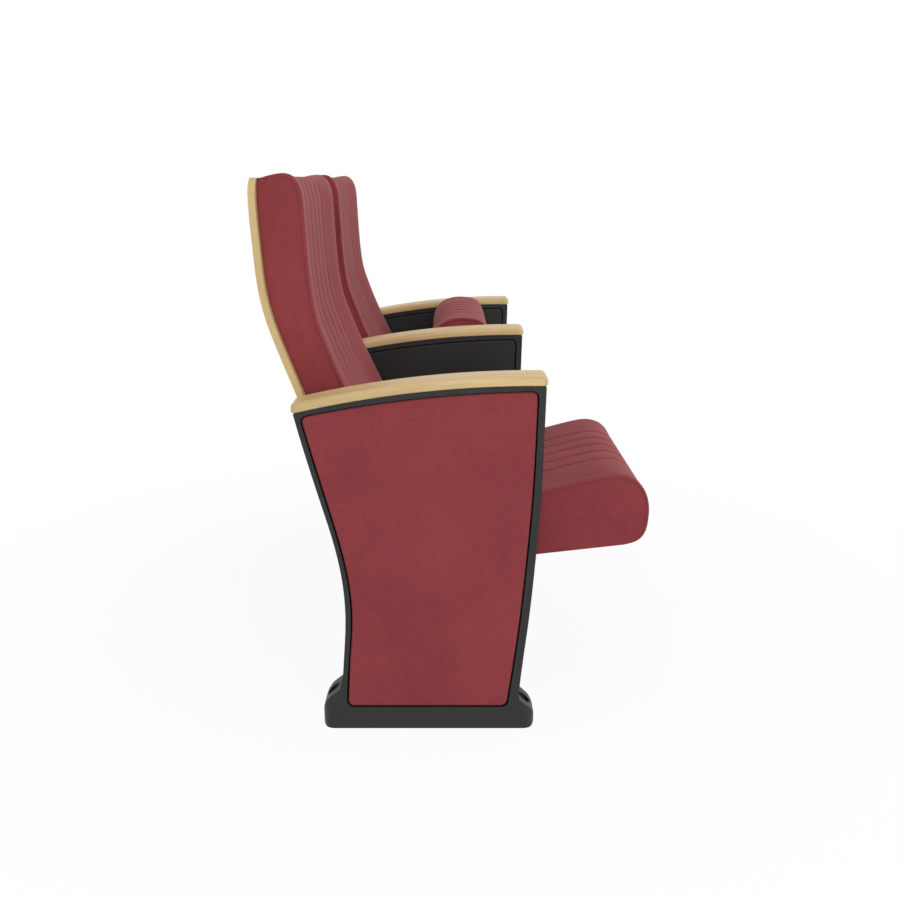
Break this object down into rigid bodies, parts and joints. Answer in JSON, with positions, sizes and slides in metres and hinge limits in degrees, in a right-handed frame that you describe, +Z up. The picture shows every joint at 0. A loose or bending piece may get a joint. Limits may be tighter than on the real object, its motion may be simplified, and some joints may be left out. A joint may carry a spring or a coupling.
{
  "type": "tip-up auditorium seat unit",
  "caption": "Joined pair of tip-up auditorium seats on three floor standards, with high padded backs, wood arms and fabric end panels.",
  "frame": {"origin": "on the floor, at the centre of the middle foot's two anchor holes", "axes": "+X forward, the way a sitter faces; +Y along the row; +Z up"},
  "size_m": [0.6986, 1.23, 0.9767],
  "materials": {
    "frame": "black powder coat",
    "foot": "black powder coat",
    "inner_panel": "fine grain",
    "seat_pan": "fine grain",
    "fabric": "woven",
    "wood": "clear satin lacquer",
    "board": "raw plywood",
    "black_steel": "satin",
    "steel": "zinc plated",
    "spring_steel": "oiled",
    "nylon": "satin",
    "rubber": "matt"
  },
  "bodies": {
    "bank": {"foot_near": "foot", "frame_near": "frame", "armrest_near": "wood", "foot_middle": "foot", "frame_middle": "frame", "armrest_middle": "wood", "foot_far": "foot", "frame_far": "frame", "armrest_far": "wood", "outer_panel_board_near": "board", "outer_panel_cover_near": "fabric", "inner_panel_near": "inner_panel", "outer_panel_board_far": "board", "outer_panel_cover_far": "fabric", "inner_panel_far": "inner_panel", "inner_panel_middle_near_side": "inner_panel", "inner_panel_middle_far_side": "inner_panel", "panel_clips": "nylon", "armrest_screws": "steel", "foot_screws": "steel", "back_shell_near": "wood", "back_cushion_near": "fabric", "back_board_near": "board", "back_bracket_left_near": "black_steel", "pivot_pin_left_near": "steel", "helper_spring_left_near": "spring_steel", "back_bracket_right_near": "black_steel", "pivot_pin_right_near": "steel", "helper_spring_right_near": "spring_steel", "back_shell_far": "wood", "back_cushion_far": "fabric", "back_board_far": "board", "back_bracket_left_far": "black_steel", "pivot_pin_left_far": "steel", "helper_spring_left_far": "spring_steel", "back_bracket_right_far": "black_steel", "pivot_pin_right_far": "steel", "helper_spring_right_far": "spring_steel", "pin_rings": "spring_steel", "stop_bolts": "steel", "stop_sleeves": "rubber", "bracket_bolts": "black_steel", "shell_screws": "black_steel", "back_board_screws": "black_steel"},
    "near_seat": {"seat_cushion_near": "fabric", "seat_board_near": "board", "seat_pan_near": "seat_pan", "hinge_bracket_left_near": "black_steel", "hinge_bracket_right_near": "black_steel", "hinge_bushes_near": "nylon", "hinge_screws_near": "black_steel"},
    "far_seat": {"seat_cushion_far": "fabric", "seat_board_far": "board", "seat_pan_far": "seat_pan", "hinge_bracket_left_far": "black_steel", "hinge_bracket_right_far": "black_steel", "hinge_bushes_far": "nylon", "hinge_screws_far": "black_steel"}
  },
  "joints": [
    {"name": "near_seat_tip", "type": "hinge", "parent": "bank", "child": "near_seat", "pos_m": [0.095, -0.29, 0.355], "axis": [0, -1, 0], "range_deg": [0, 90], "stiffness_Nm_per_rad": 1.2, "springref_deg": 148.97, "deforming": ["helper_spring_left_near", "helper_spring_right_near"]},
    {"name": "far_seat_tip", "type": "hinge", "parent": "bank", "child": "far_seat", "pos_m": [0.095, 0.29, 0.355], "axis": [0, 1, 0], "range_deg": [0, 90], "stiffness_Nm_per_rad": 1.2, "springref_deg": -58.96, "deforming": ["helper_spring_left_far", "helper_spring_right_far"]}
  ]
}
